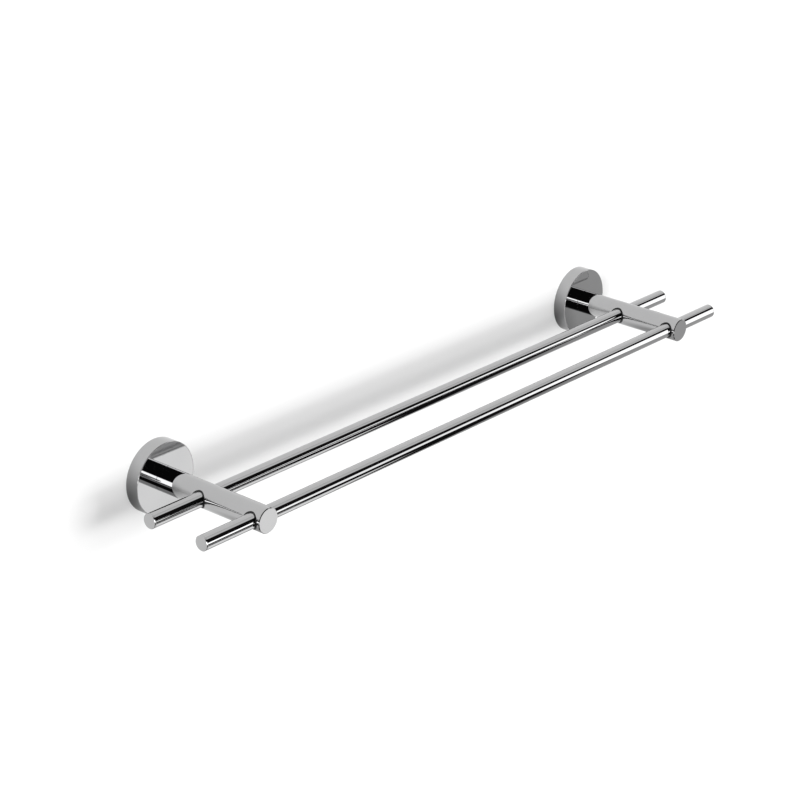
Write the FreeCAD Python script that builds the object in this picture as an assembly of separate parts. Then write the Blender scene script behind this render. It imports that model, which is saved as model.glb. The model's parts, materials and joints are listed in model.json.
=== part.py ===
import FreeCAD, Part
import math
import os

from FreeCAD import Vector

# Double towel rack for a wall, in millimetres. Two turned posts stand out from
# round wall rosettes and carry two straight rails, one behind the other. Each
# rosette hides a wall bracket and is held on it by one screw from below.
#
# +X runs along the rails, +Y points into the wall, +Z is up. The origin is on the
# wall, midway between the two rosettes. "left" is -X, seen from the front.

# ---- driving dimensions -----------------------------------------------------
POST_SPACING = 490.0      # between the two post axes
PROJECTION = 107.5        # wall to the front end of a post
POST_D = 18.5
RAIL_D = 11.0
RAIL_LENGTH = 600.0       # over the end caps
REAR_RAIL_Y = -51.0       # rail axes, measured from the wall
FRONT_RAIL_Y = -99.0
RAIL_WALL = 1.0

ROSETTE_D = 54.5
ROSETTE_DEPTH = 11.0
ROSETTE_FACE = 3.0        # thickness of the flat front
ROSETTE_RIM = 2.0         # thickness of the round rim
ROSETTE_ROUND = 0.5       # radius on the front edge

BRACKET_D = 48.0
BRACKET_BASE = 2.0
BRACKET_DEPTH = 7.0
BRACKET_FLANGE = 2.0
BRACKET_WINDOW_D = 18.0   # clears the head of the post bolt
WALL_HOLE_D = 5.0
WALL_HOLE_SPACING = 31.0  # one hole above the other

THREAD_CLEARANCE = 0.05   # radial, between a plain thread and its hole
POST_CHAMFER = 0.5        # front end of a post
POST_FOOT_CHAMFER = 0.2   # wall end of a post
BORE_BREAK = 0.15         # radius on the edge of a cross bore

SLEEVE_WALL = 0.9         # nylon sleeve between a rail and its post
SLEEVE_CLEARANCE = 0.05   # radial, inside and outside
SLEEVE_RECESS = 0.2       # sleeve end below the surface of the post

BOLT_D = 6.0              # M6 bolt from behind the rosette into the post
BOLT_LENGTH = 18.0
BOLT_HEAD_D = 10.0
BOLT_HEAD_HEIGHT = 4.0
BOLT_SOCKET = 4.0         # across flats
BOLT_SOCKET_DEPTH = 2.4
BOLT_TIP_CHAMFER = 0.6
BOLT_HEAD_CHAMFER = 0.4
BOLT_HOLE_CLEARANCE = 0.2
POST_THREAD_DEPTH = 16.0

WASHER_D = 10.6
WASHER_BORE_D = 6.3
WASHER_HEIGHT = 1.4
WASHER_SPLIT = 0.8

DOWEL_D = 3.0             # keeps the post from turning on the rosette
DOWEL_OFFSET = 6.5
DOWEL_LENGTH = 7.0
DOWEL_RECESS = 0.5
DOWEL_CHAMFER = 0.3
DOWEL_HOLE_DEPTH = 5.0    # in the post

GRUB_D = 4.0              # M4 socket set screws
GRUB_SOCKET = 2.0
GRUB_SOCKET_DEPTH = 1.6
GRUB_RECESS = 0.25        # screw head below the surface it is sunk in
GRUB_TIP_D = 2.6
GRUB_TIP_GAP = 0.02       # between the screw tip and the rail
GRUB_TIP_CONE = 0.7
DOG_D = 2.8               # plain point that enters the bracket flange
DOG_REACH = 0.4           # past the inside of the flange
DOG_HOLE_CLEARANCE = 0.2
GRUB_Y = -4.5             # rosette screw, from the wall

CAP_THICKNESS = 1.0
CAP_CHAMFER = 0.3
CAP_SEAM = 0.15
CAP_STEM_LENGTH = 8.0
CAP_STEM_CLEARANCE = 0.05
CAP_STEM_CHAMFER = 0.4

# ---- directions and sides ---------------------------------------------------
ALONG_RAIL = Vector(1, 0, 0)
TO_WALL = Vector(0, 1, 0)
TO_FRONT = Vector(0, -1, 0)
UP = Vector(0, 0, 1)

SIDES = {"left": -1, "right": 1}
RAILS = {"rear": REAR_RAIL_Y, "front": FRONT_RAIL_Y}

SLEEVE_BORE_D = RAIL_D + 2 * SLEEVE_CLEARANCE
SLEEVE_D = SLEEVE_BORE_D + 2 * SLEEVE_WALL

FACE_Y = -ROSETTE_DEPTH
INNER_FACE_Y = FACE_Y + ROSETTE_FACE


def rod(diameter, start, direction, length):
    """A plain cylinder that starts at a point and runs along a direction."""
    return Part.makeCylinder(diameter / 2, length, start, direction)


def tapered(diameter_start, diameter_end, start, direction, length):
    """A truncated cone that starts at a point and runs along a direction."""
    return Part.makeCone(diameter_start / 2, diameter_end / 2, length, start, direction)


def joined(first, *others):
    """One clean solid from pieces that touch or overlap."""
    return first.fuse(list(others)).removeSplitter()


def stepped_rod(start, direction, steps):
    """A turned rod from (diameter at start, diameter at end, length) steps."""
    pieces = []
    at = start
    for first, last, length in steps:
        if first == last:
            pieces.append(rod(first, at, direction, length))
        else:
            pieces.append(tapered(first, last, at, direction, length))
        at = at + direction * length
    return joined(*pieces)


def hex_socket(across_flats, depth, start, direction):
    """A hexagonal prism to cut from a screw head, from its face inwards."""
    radius = across_flats / math.sqrt(3)
    side_on = UP if abs(direction.dot(UP)) < 0.5 else TO_WALL
    other = direction.cross(side_on)
    corners = []
    for step in range(7):
        angle = math.radians(60 * step)
        corners.append(start + side_on * (radius * math.cos(angle)) + other * (radius * math.sin(angle)))
    return Part.Face(Part.makePolygon(corners)).extrude(direction * depth)


def centre(side):
    """The point on the wall at the middle of one rosette."""
    return Vector(SIDES[side] * POST_SPACING / 2, 0, 0)


def circle_edges(shape, radius, y):
    """The round edges of one radius that lie in one plane parallel to the wall."""
    found = []
    for edge in shape.Edges:
        curve = edge.Curve
        if isinstance(curve, Part.Circle) and abs(curve.Radius - radius) < 1e-4:
            if abs(curve.Center.y - y) < 1e-4 and abs(abs(curve.Axis.y) - 1) < 1e-6:
                found.append(edge)
    return found


def bore_edges(bar):
    """The saddle shaped edges where cross bores leave a round bar."""
    return [edge for edge in bar.Edges if not isinstance(edge.Curve, (Part.Circle, Part.Line))]


def rosette(side):
    """The chromed cup that covers the bracket, flat in front and open at the wall."""
    middle = centre(side)
    cup = rod(ROSETTE_D, middle, TO_FRONT, ROSETTE_DEPTH)
    cup = cup.makeFillet(ROSETTE_ROUND, circle_edges(cup, ROSETTE_D / 2, FACE_Y))
    hollow = rod(ROSETTE_D - 2 * ROSETTE_RIM, middle, TO_FRONT, ROSETTE_DEPTH - ROSETTE_FACE)
    bolt_hole = rod(BOLT_D + 2 * BOLT_HOLE_CLEARANCE, middle, TO_FRONT, ROSETTE_DEPTH)
    dowel_hole = rod(DOWEL_D + 2 * THREAD_CLEARANCE, middle + UP * DOWEL_OFFSET, TO_FRONT, ROSETTE_DEPTH)
    screw_start = middle + Vector(0, GRUB_Y, -ROSETTE_D / 2)
    screw_hole = rod(GRUB_D + 2 * THREAD_CLEARANCE, screw_start, UP, 2 * ROSETTE_RIM)
    return cup.cut([hollow, bolt_hole, dowel_hole, screw_hole])


def wall_bracket(side):
    """The pressed steel dish that is screwed to the wall inside a rosette."""
    middle = centre(side)
    dish = rod(BRACKET_D, middle, TO_FRONT, BRACKET_DEPTH)
    inside = BRACKET_D - 2 * BRACKET_FLANGE
    hollow = rod(inside, middle + TO_FRONT * BRACKET_BASE, TO_FRONT, BRACKET_DEPTH)
    window = rod(BRACKET_WINDOW_D, middle, TO_FRONT, BRACKET_BASE)
    cuts = [hollow, window]
    for level in (-1, 1):
        at = middle + UP * (level * WALL_HOLE_SPACING / 2)
        cuts.append(rod(WALL_HOLE_D, at, TO_FRONT, BRACKET_BASE))
    point_start = middle + Vector(0, GRUB_Y, -BRACKET_D / 2)
    cuts.append(rod(DOG_D + 2 * DOG_HOLE_CLEARANCE, point_start, UP, 2 * BRACKET_FLANGE))
    return dish.cut(cuts)


def rosette_grub_screw(side):
    """The set screw under a rosette, whose plain point enters the bracket flange."""
    start = centre(side) + Vector(0, GRUB_Y, -ROSETTE_D / 2 + GRUB_RECESS)
    threaded = (ROSETTE_D - BRACKET_D) / 2 - GRUB_RECESS - DOG_HOLE_CLEARANCE
    point = DOG_HOLE_CLEARANCE + BRACKET_FLANGE + DOG_REACH
    screw = stepped_rod(start, UP, [(GRUB_D, GRUB_D, threaded), (DOG_D, DOG_D, point)])
    return screw.cut(hex_socket(GRUB_SOCKET, GRUB_SOCKET_DEPTH, start, UP))


def post(side):
    """The solid turned post with its two cross bores, thread, pin hole and set screw holes."""
    foot = centre(side) + TO_FRONT * ROSETTE_DEPTH
    plain = PROJECTION - ROSETTE_DEPTH - POST_FOOT_CHAMFER - POST_CHAMFER
    bar = stepped_rod(foot, TO_FRONT, [
        (POST_D - 2 * POST_FOOT_CHAMFER, POST_D, POST_FOOT_CHAMFER),
        (POST_D, POST_D, plain),
        (POST_D, POST_D - 2 * POST_CHAMFER, POST_CHAMFER),
    ])
    bores = []
    holes = [
        rod(BOLT_D + 2 * THREAD_CLEARANCE, foot, TO_FRONT, POST_THREAD_DEPTH),
        rod(DOWEL_D + 2 * THREAD_CLEARANCE, foot + UP * DOWEL_OFFSET, TO_FRONT, DOWEL_HOLE_DEPTH),
    ]
    for rail_y in RAILS.values():
        axis = centre(side) + Vector(-POST_D, rail_y, 0)
        bores.append(rod(SLEEVE_D + 2 * SLEEVE_CLEARANCE, axis, ALONG_RAIL, 2 * POST_D))
        below = centre(side) + Vector(0, rail_y, -POST_D)
        holes.append(rod(GRUB_D + 2 * THREAD_CLEARANCE, below, UP, POST_D))
    bored = bar.cut(bores)
    bored = bored.makeFillet(BORE_BREAK, bore_edges(bored))
    return bored.cut(holes)


def rail_sleeve(side, rail_y):
    """The thin sleeve that fills a cross bore around its rail, its ends shaped to the post."""
    axis = centre(side) + Vector(-POST_D, rail_y, 0)
    ring = rod(SLEEVE_D, axis, ALONG_RAIL, 2 * POST_D)
    inside = rod(SLEEVE_BORE_D, axis, ALONG_RAIL, 2 * POST_D)
    envelope_start = centre(side) + Vector(0, rail_y + POST_D / 2, 0)
    envelope = rod(POST_D - 2 * SLEEVE_RECESS, envelope_start, TO_FRONT, POST_D)
    below = centre(side) + Vector(0, rail_y, -POST_D)
    screw_hole = rod(GRUB_D + 2 * THREAD_CLEARANCE, below, UP, POST_D)
    return ring.common(envelope).cut([inside, screw_hole])


def rail_grub_screw(side, rail_y):
    """The set screw in the underside of a post that clamps one rail."""
    start = centre(side) + Vector(0, rail_y, -POST_D / 2 + GRUB_RECESS)
    length = (POST_D - RAIL_D) / 2 - GRUB_RECESS - GRUB_TIP_GAP
    screw = stepped_rod(start, UP, [
        (GRUB_D, GRUB_D, length - GRUB_TIP_CONE),
        (GRUB_D, GRUB_TIP_D, GRUB_TIP_CONE),
    ])
    return screw.cut(hex_socket(GRUB_SOCKET, GRUB_SOCKET_DEPTH, start, UP))


def post_bolt(side):
    """The low head socket bolt that draws a post onto its rosette from behind."""
    seat = centre(side) + Vector(0, INNER_FACE_Y + WASHER_HEIGHT, 0)
    head_start = seat + TO_WALL * BOLT_HEAD_HEIGHT
    bolt = stepped_rod(head_start, TO_FRONT, [
        (BOLT_HEAD_D - 2 * BOLT_HEAD_CHAMFER, BOLT_HEAD_D, BOLT_HEAD_CHAMFER),
        (BOLT_HEAD_D, BOLT_HEAD_D, BOLT_HEAD_HEIGHT - BOLT_HEAD_CHAMFER),
        (BOLT_D, BOLT_D, BOLT_LENGTH - BOLT_TIP_CHAMFER),
        (BOLT_D, BOLT_D - 2 * BOLT_TIP_CHAMFER, BOLT_TIP_CHAMFER),
    ])
    return bolt.cut(hex_socket(BOLT_SOCKET, BOLT_SOCKET_DEPTH, head_start, TO_FRONT))


def spring_washer(side):
    """The split washer between the bolt head and the back of the rosette."""
    seat = centre(side) + Vector(0, INNER_FACE_Y, 0)
    ring = rod(WASHER_D, seat, TO_WALL, WASHER_HEIGHT)
    bore = rod(WASHER_BORE_D, seat, TO_WALL, WASHER_HEIGHT)
    split_corner = seat + Vector(-WASHER_SPLIT / 2, 0, -WASHER_D)
    split = Part.makeBox(WASHER_SPLIT, WASHER_HEIGHT, WASHER_D, split_corner)
    return ring.cut([bore, split])


def dowel_pin(side):
    """The pin that joins rosette and post so that the post can't turn."""
    start = centre(side) + Vector(0, INNER_FACE_Y - DOWEL_RECESS, DOWEL_OFFSET)
    return stepped_rod(start, TO_FRONT, [
        (DOWEL_D - 2 * DOWEL_CHAMFER, DOWEL_D, DOWEL_CHAMFER),
        (DOWEL_D, DOWEL_D, DOWEL_LENGTH - 2 * DOWEL_CHAMFER),
        (DOWEL_D, DOWEL_D - 2 * DOWEL_CHAMFER, DOWEL_CHAMFER),
    ])


def rail_tube(rail_y):
    """One straight round tube, open at both ends."""
    length = RAIL_LENGTH - 2 * CAP_THICKNESS
    start = Vector(-length / 2, rail_y, 0)
    outer = rod(RAIL_D, start, ALONG_RAIL, length)
    inner = rod(RAIL_D - 2 * RAIL_WALL, start, ALONG_RAIL, length)
    return outer.cut(inner)


def rail_end_cap(side, rail_y):
    """The flat plug that closes one end of a rail."""
    outward = ALONG_RAIL * SIDES[side]
    stem_d = RAIL_D - 2 * RAIL_WALL - 2 * CAP_STEM_CLEARANCE
    start = outward * (RAIL_LENGTH / 2 - CAP_THICKNESS - CAP_STEM_LENGTH) + Vector(0, rail_y, 0)
    return stepped_rod(start, outward, [
        (stem_d - 2 * CAP_STEM_CHAMFER, stem_d, CAP_STEM_CHAMFER),
        (stem_d, stem_d, CAP_STEM_LENGTH - CAP_STEM_CHAMFER),
        (RAIL_D - 2 * CAP_SEAM, RAIL_D, CAP_SEAM),
        (RAIL_D, RAIL_D, CAP_THICKNESS - CAP_SEAM - CAP_CHAMFER),
        (RAIL_D, RAIL_D - 2 * CAP_CHAMFER, CAP_CHAMFER),
    ])


def all_parts():
    """Every node's name with its solid."""
    parts = {}
    for side in SIDES:
        parts[side + "_wall_bracket"] = wall_bracket(side)
        parts[side + "_rosette"] = rosette(side)
        parts[side + "_rosette_grub_screw"] = rosette_grub_screw(side)
        parts[side + "_post"] = post(side)
        parts[side + "_post_bolt"] = post_bolt(side)
        parts[side + "_spring_washer"] = spring_washer(side)
        parts[side + "_dowel_pin"] = dowel_pin(side)
        for rail, rail_y in RAILS.items():
            parts[f"{side}_{rail}_rail_grub_screw"] = rail_grub_screw(side, rail_y)
            parts[f"{side}_{rail}_rail_sleeve"] = rail_sleeve(side, rail_y)
            parts[f"{side}_{rail}_rail_end_cap"] = rail_end_cap(side, rail_y)
    for rail, rail_y in RAILS.items():
        parts[rail + "_rail_tube"] = rail_tube(rail_y)
    return parts


os.makedirs("parts", exist_ok=True)
for name, shape in all_parts().items():
    shape.exportStep(f"parts/{name}.step")
    print(f"{name:28s} solids {len(shape.Solids)} volume {shape.Volume:9.1f} valid {shape.isValid()}")
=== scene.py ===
import json
import logging
import math
from dataclasses import dataclass, field
from enum import Enum
from typing import Any, Iterable

import bmesh
import bpy
from mathutils import Matrix, Vector


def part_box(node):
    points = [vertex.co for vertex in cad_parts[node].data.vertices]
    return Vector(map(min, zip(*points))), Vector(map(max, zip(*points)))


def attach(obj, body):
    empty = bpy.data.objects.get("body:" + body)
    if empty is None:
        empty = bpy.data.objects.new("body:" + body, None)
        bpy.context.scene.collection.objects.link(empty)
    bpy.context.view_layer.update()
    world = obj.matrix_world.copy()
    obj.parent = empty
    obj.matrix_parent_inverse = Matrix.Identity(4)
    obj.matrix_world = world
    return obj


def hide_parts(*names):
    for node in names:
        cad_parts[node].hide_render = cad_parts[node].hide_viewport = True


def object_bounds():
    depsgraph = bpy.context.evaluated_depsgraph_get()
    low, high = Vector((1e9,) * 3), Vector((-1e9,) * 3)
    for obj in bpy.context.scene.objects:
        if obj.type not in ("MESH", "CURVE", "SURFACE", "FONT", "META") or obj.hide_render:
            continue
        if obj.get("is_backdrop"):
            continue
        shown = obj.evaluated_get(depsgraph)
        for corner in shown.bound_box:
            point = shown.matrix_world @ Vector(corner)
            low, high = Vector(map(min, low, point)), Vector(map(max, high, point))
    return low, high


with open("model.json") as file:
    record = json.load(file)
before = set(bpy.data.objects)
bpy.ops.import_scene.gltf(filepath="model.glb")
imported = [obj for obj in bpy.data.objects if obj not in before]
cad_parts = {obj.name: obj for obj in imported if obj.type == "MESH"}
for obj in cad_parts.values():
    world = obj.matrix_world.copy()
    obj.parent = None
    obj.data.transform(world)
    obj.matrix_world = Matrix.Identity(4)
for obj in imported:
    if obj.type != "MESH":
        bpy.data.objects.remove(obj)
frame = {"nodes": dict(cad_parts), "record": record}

# A wall mounted double towel rack in bright chrome, in metres, in the frame of its
# CAD model: +X along the rails, +Y into the wall, +Z up.

log = logging.getLogger("towel_rack")

MM = 0.001
BODY = "root"

ALONG = Vector((1, 0, 0))       # along the rails
FORWARD = Vector((0, -1, 0))    # out of the wall
DOWN = Vector((0, 0, -1))

MERGE = 1e-7                    # points closer than this are one
TOUCH = 1e-6                    # how near a point of a turned ring stands to its place
FLAT = 0.9999                   # least cosine between a flat face and its axis
UPRIGHT = 0.02                  # greatest cosine between a round wall and its axis

# Steps around one turn.
LARGE_ROUND = 256
BORE_ROUND = 192
DISH_ROUND = 160
PLAIN_ROUND = 128
WALL_OPENING_ROUND = 96
WALL_HOLE_ROUND = 64
SCREW_ROUND = 48
PIN_ROUND = 32

# Steps across a rounded edge.
FINE_EDGE = 4
SMALL_EDGE = 2

# The sockets of a Mix node that mixes colours.
MIX_FACTOR, MIX_FIRST, MIX_SECOND, MIX_RESULT = 0, 6, 7, 2

Colour = tuple[float, float, float, float]


class Slot(Enum):
    """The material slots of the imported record."""

    CHROME = "chrome"
    ZINC = "zinc_plated_steel"
    STAINLESS = "stainless_steel"
    BLACK = "black_steel_screw"
    NYLON = "black_nylon"


class Side(Enum):
    """The two ends of the rack, with their direction along X."""

    LEFT = -1
    RIGHT = 1

    @property
    def word(self) -> str:
        """The side as it stands in node names."""
        return self.name.lower()


class Depth(Enum):
    """The two rails, by how far they stand from the wall."""

    REAR = "rear"
    FRONT = "front"


# ---- shader expressions -------------------------------------------------------


class Signal:
    """A number socket that can be used in Python arithmetic."""

    def __init__(self, graph: "Graph", socket: bpy.types.NodeSocket) -> None:
        """Wraps a socket.

        Args:
            graph: The node graph that the socket belongs to.
            socket: The output socket.
        """
        self.graph = graph
        self.socket = socket

    def _math(self, operation: str, *values: Any) -> "Signal":
        """Adds one Math node and gives its result."""
        return self.graph.math(operation, *values)

    def __add__(self, other: Any) -> "Signal":
        """Sum."""
        return self._math("ADD", self, other)

    __radd__ = __add__

    def __sub__(self, other: Any) -> "Signal":
        """Difference."""
        return self._math("SUBTRACT", self, other)

    def __rsub__(self, other: Any) -> "Signal":
        """Difference, reflected."""
        return self._math("SUBTRACT", other, self)

    def __mul__(self, other: Any) -> "Signal":
        """Product."""
        return self._math("MULTIPLY", self, other)

    __rmul__ = __mul__

    def __truediv__(self, other: Any) -> "Signal":
        """Quotient."""
        return self._math("DIVIDE", self, other)

    def __rtruediv__(self, other: Any) -> "Signal":
        """Quotient, reflected."""
        return self._math("DIVIDE", other, self)

    def __neg__(self) -> "Signal":
        """Negative."""
        return self._math("MULTIPLY", self, -1.0)

    def clamped(self) -> "Signal":
        """The value held between 0 and 1."""
        return self.graph.number("ShaderNodeClamp", {}, {"Value": self})

    def power(self, exponent: Any) -> "Signal":
        """The value raised to a power."""
        return self._math("POWER", self, exponent)

    def above(self, edge: Any, softness: float) -> "Signal":
        """Rises from 0 to 1 around an edge.

        Args:
            edge: Where the result is one half.
            softness: The full width of the rise.

        Returns:
            The ramp, held between 0 and 1.
        """
        return ((self - edge) / softness + 0.5).clamped()

    def below(self, edge: Any, softness: float) -> "Signal":
        """Falls from 1 to 0 around an edge."""
        return 1.0 - self.above(edge, softness)

    def between(self, low: Any, high: Any, softness: float) -> "Signal":
        """Is 1 between two edges and 0 outside them, with soft edges."""
        return self.above(low, softness) * self.below(high, softness)

    def rise(self, start: float, end: float) -> "Signal":
        """Rises from 0 to 1 from one value to another."""
        return ((self - start) / (end - start)).clamped()


class Graph:
    """The nodes of one material or world."""

    def __init__(self, tree: bpy.types.NodeTree) -> None:
        """Starts from an empty tree.

        Args:
            tree: The node tree to fill.
        """
        self.tree = tree
        tree.nodes.clear()

    def node(self, kind: str, settings: dict[str, Any], sockets: dict[Any, Any]) -> bpy.types.Node:
        """Adds a node.

        Args:
            kind: The node's type.
            settings: Its properties, set first.
            sockets: Values or links for its inputs, by name or number.

        Returns:
            The new node.
        """
        made = self.tree.nodes.new(kind)
        for name, value in settings.items():
            setattr(made, name, value)
        for name, value in sockets.items():
            if isinstance(value, Signal):
                value = value.socket
            if isinstance(value, bpy.types.NodeSocket):
                self.tree.links.new(value, made.inputs[name])
            else:
                made.inputs[name].default_value = value
        return made

    def number(self, kind: str, settings: dict[str, Any], sockets: dict[Any, Any],
               output: Any = 0) -> Signal:
        """Adds a node and wraps one of its outputs."""
        return Signal(self, self.node(kind, settings, sockets).outputs[output])

    def math(self, operation: str, *values: Any) -> Signal:
        """Adds a Math node."""
        return self.number("ShaderNodeMath", {"operation": operation}, dict(enumerate(values)))

    def mixed(self, factor: Any, first: Any, second: Any) -> bpy.types.NodeSocket:
        """Mixes two colours."""
        sockets = {MIX_FACTOR: factor, MIX_FIRST: first, MIX_SECOND: second}
        return self.node("ShaderNodeMix", {"data_type": "RGBA"}, sockets).outputs[MIX_RESULT]

    def blend(self, factor: Signal, first: bpy.types.Node, second: bpy.types.Node) -> bpy.types.Node:
        """Mixes two shaders."""
        sockets = {0: factor, 1: first.outputs[0], 2: second.outputs[0]}
        return self.node("ShaderNodeMixShader", {}, sockets)

    def axes(self, where: bpy.types.NodeSocket) -> tuple[Signal, Signal, Signal]:
        """The three parts of a vector."""
        parts = self.node("ShaderNodeSeparateXYZ", {}, {"Vector": where}).outputs
        return Signal(self, parts["X"]), Signal(self, parts["Y"]), Signal(self, parts["Z"])

    def noise(self, where: bpy.types.NodeSocket, scale: float, detail: float = 4.0,
              stretch: tuple[float, float, float] = (1.0, 1.0, 1.0), roughness: float = 0.6) -> Signal:
        """Noise on a vector.

        Args:
            where: The coordinates.
            scale: Features a metre.
            detail: Octaves.
            stretch: Extra scale on each axis.
            roughness: How strong the finer octaves are.

        Returns:
            The noise, around one half.
        """
        spread = {"Vector": where, "Scale": stretch}
        mapped = self.node("ShaderNodeMapping", {"vector_type": "POINT"}, spread).outputs[0]
        sockets = {"Vector": mapped, "Scale": scale, "Detail": detail, "Roughness": roughness}
        return self.number("ShaderNodeTexNoise", {}, sockets)


# ---- finishes -------------------------------------------------------------------


def new_material(name: str) -> tuple[bpy.types.Material, Graph, bpy.types.NodeSocket]:
    """A fresh node material.

    Args:
        name: The material's name.

    Returns:
        The material, its graph and the object coordinates.
    """
    material = bpy.data.materials.new(name)
    material.use_nodes = True
    graph = Graph(material.node_tree)
    where = graph.node("ShaderNodeTexCoord", {}, {}).outputs["Object"]
    return material, graph, where


def shaded(graph: Graph, sockets: dict[str, Any], height: Signal, depth: float) -> None:
    """Ends a material with a bump and a Principled shader.

    Args:
        graph: The material's graph.
        sockets: The shader's inputs.
        height: The relief, from 0 to 1.
        depth: The relief's depth in metres.
    """
    bump = graph.node("ShaderNodeBump", {}, {"Strength": 1.0, "Distance": depth, "Height": height})
    shader = graph.node("ShaderNodeBsdfPrincipled", {}, {**sockets, "Normal": bump.outputs[0]})
    graph.node("ShaderNodeOutputMaterial", {}, {"Surface": shader.outputs[0]})


@dataclass(frozen=True)
class Chrome:
    """Bright chrome plate over polished brass."""

    name: str = "bright_chrome"
    tint: Colour = (0.472, 0.472, 0.475, 1.0)
    dull_tint: Colour = (0.445, 0.445, 0.449, 1.0)
    dulling: float = 0.6
    polish: float = 0.015
    haze: float = 0.030
    cloud_scale: float = 38.0
    film_edge: tuple[float, float] = (0.42, 0.7533)
    wipe_edge: tuple[float, float] = (0.60, 0.7667)
    wipe_scale: float = 220.0
    wipe_stretch: tuple[float, float, float] = (0.12, 1.0, 1.0)
    wipe_share: float = 0.5
    ripple_scale: float = 320.0
    ripple: float = 0.0012 * MM

    def material(self) -> bpy.types.Material:
        """Builds the node material, with a film of haze and faint wipe marks."""
        material, graph, where = new_material(self.name)
        cloud = graph.noise(where, self.cloud_scale, 5.0)
        wipe = graph.noise(where, self.wipe_scale, 3.0, self.wipe_stretch)
        film = cloud.rise(*self.film_edge)
        hairline = wipe.rise(*self.wipe_edge)
        rough = self.polish + film * self.haze + hairline * (self.wipe_share * self.haze)
        colour = graph.mixed(film * self.dulling, self.tint, self.dull_tint)
        relief = graph.noise(where, self.ripple_scale, 2.0)
        sockets = {"Base Color": colour, "Metallic": 1.0, "Roughness": rough}
        shaded(graph, sockets, relief, self.ripple)
        return material


@dataclass(frozen=True)
class ZincPlate:
    """Dull bluish zinc on pressed steel."""

    name: str = "zinc_plate"
    pale: Colour = (0.60, 0.62, 0.65, 1.0)
    deep: Colour = (0.40, 0.42, 0.45, 1.0)
    roughness: float = 0.34
    unevenness: float = 0.25
    spangle_scale: float = 420.0
    spangle_share: float = 0.5
    cloud_scale: float = 130.0
    cloud_share: float = 0.7
    grain_scale: float = 1500.0
    grain_depth: float = 0.02 * MM

    def material(self) -> bpy.types.Material:
        """Builds the node material, mottled by crystals and clouds."""
        material, graph, where = new_material(self.name)
        crystals = {"Vector": where, "Scale": self.spangle_scale}
        spangle = graph.number("ShaderNodeTexVoronoi", {"feature": "F1"}, crystals, "Distance")
        cloud = graph.noise(where, self.cloud_scale)
        mottle = (cloud * self.cloud_share + spangle * self.spangle_share).clamped()
        colour = graph.mixed(mottle, self.deep, self.pale)
        rough = self.roughness + (cloud - 0.5) * self.unevenness
        grain = graph.noise(where, self.grain_scale, 3.0)
        sockets = {"Base Color": colour, "Metallic": 1.0, "Roughness": rough}
        shaded(graph, sockets, grain, self.grain_depth)
        return material


@dataclass(frozen=True)
class TurnedStainless:
    """Stainless steel with the fine rings that a lathe leaves."""

    name: str = "turned_stainless"
    pale: Colour = (0.58, 0.57, 0.55, 1.0)
    deep: Colour = (0.42, 0.41, 0.40, 1.0)
    roughness: float = 0.20
    ring_scale: float = 900.0
    ring_stretch: tuple[float, float, float] = (0.15, 3.0, 0.15)
    ring_depth: float = 0.01 * MM
    ring_share: float = 0.6
    ring_unevenness: float = 0.2
    cloud_scale: float = 240.0
    cloud_share: float = 0.5
    cloud_unevenness: float = 0.1

    def material(self) -> bpy.types.Material:
        """Builds the node material, with rings about axes that run out of the wall."""
        material, graph, where = new_material(self.name)
        rings = graph.noise(where, self.ring_scale, 2.0, self.ring_stretch)
        cloud = graph.noise(where, self.cloud_scale)
        shine = (rings * self.ring_share + cloud * self.cloud_share).clamped()
        colour = graph.mixed(shine, self.deep, self.pale)
        uneven = (rings - 0.5) * self.ring_unevenness + (cloud - 0.5) * self.cloud_unevenness
        rough = self.roughness + uneven
        sockets = {"Base Color": colour, "Metallic": 1.0, "Roughness": rough}
        shaded(graph, sockets, rings, self.ring_depth)
        return material


@dataclass(frozen=True)
class BlackOxide:
    """Blackened steel, worn a little brighter in patches."""

    name: str = "black_oxide"
    black: Colour = (0.028, 0.028, 0.031, 1.0)
    worn: Colour = (0.17, 0.165, 0.16, 1.0)
    roughness: float = 0.42
    polish_by_wear: float = 0.14
    metallic: float = 0.85
    patch_scale: float = 700.0
    wear_edge: tuple[float, float] = (0.56, 0.76)
    patch_depth: float = 0.01 * MM

    def material(self) -> bpy.types.Material:
        """Builds the node material, with wear on the high patches."""
        material, graph, where = new_material(self.name)
        patches = graph.noise(where, self.patch_scale, 5.0)
        wear = patches.rise(*self.wear_edge)
        colour = graph.mixed(wear, self.black, self.worn)
        rough = self.roughness - wear * self.polish_by_wear
        sockets = {"Base Color": colour, "Metallic": self.metallic, "Roughness": rough}
        shaded(graph, sockets, patches, self.patch_depth)
        return material


@dataclass(frozen=True)
class BlackNylon:
    """Moulded black nylon with a fine matt skin."""

    name: str = "matt_nylon"
    black: Colour = (0.012, 0.012, 0.013, 1.0)
    dusty: Colour = (0.030, 0.030, 0.031, 1.0)
    roughness: float = 0.52
    unevenness: float = 0.3
    dust: float = 0.8
    sheen: float = 0.35
    skin_scale: float = 2600.0
    skin_depth: float = 0.02 * MM
    cloud_scale: float = 300.0

    def material(self) -> bpy.types.Material:
        """Builds the node material, a little dusty in patches."""
        material, graph, where = new_material(self.name)
        skin = graph.noise(where, self.skin_scale, 4.0)
        cloud = graph.noise(where, self.cloud_scale, 3.0)
        colour = graph.mixed((cloud * self.dust).clamped(), self.black, self.dusty)
        rough = self.roughness + (skin - 0.5) * self.unevenness
        sockets = {"Base Color": colour, "Roughness": rough, "Specular IOR Level": self.sheen}
        shaded(graph, sockets, skin, self.skin_depth)
        return material


FINISHES: dict[Slot, Any] = {
    Slot.CHROME: Chrome(),
    Slot.ZINC: ZincPlate(),
    Slot.STAINLESS: TurnedStainless(),
    Slot.BLACK: BlackOxide(),
    Slot.NYLON: BlackNylon(),
}


# ---- mesh work --------------------------------------------------------------------


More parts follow.
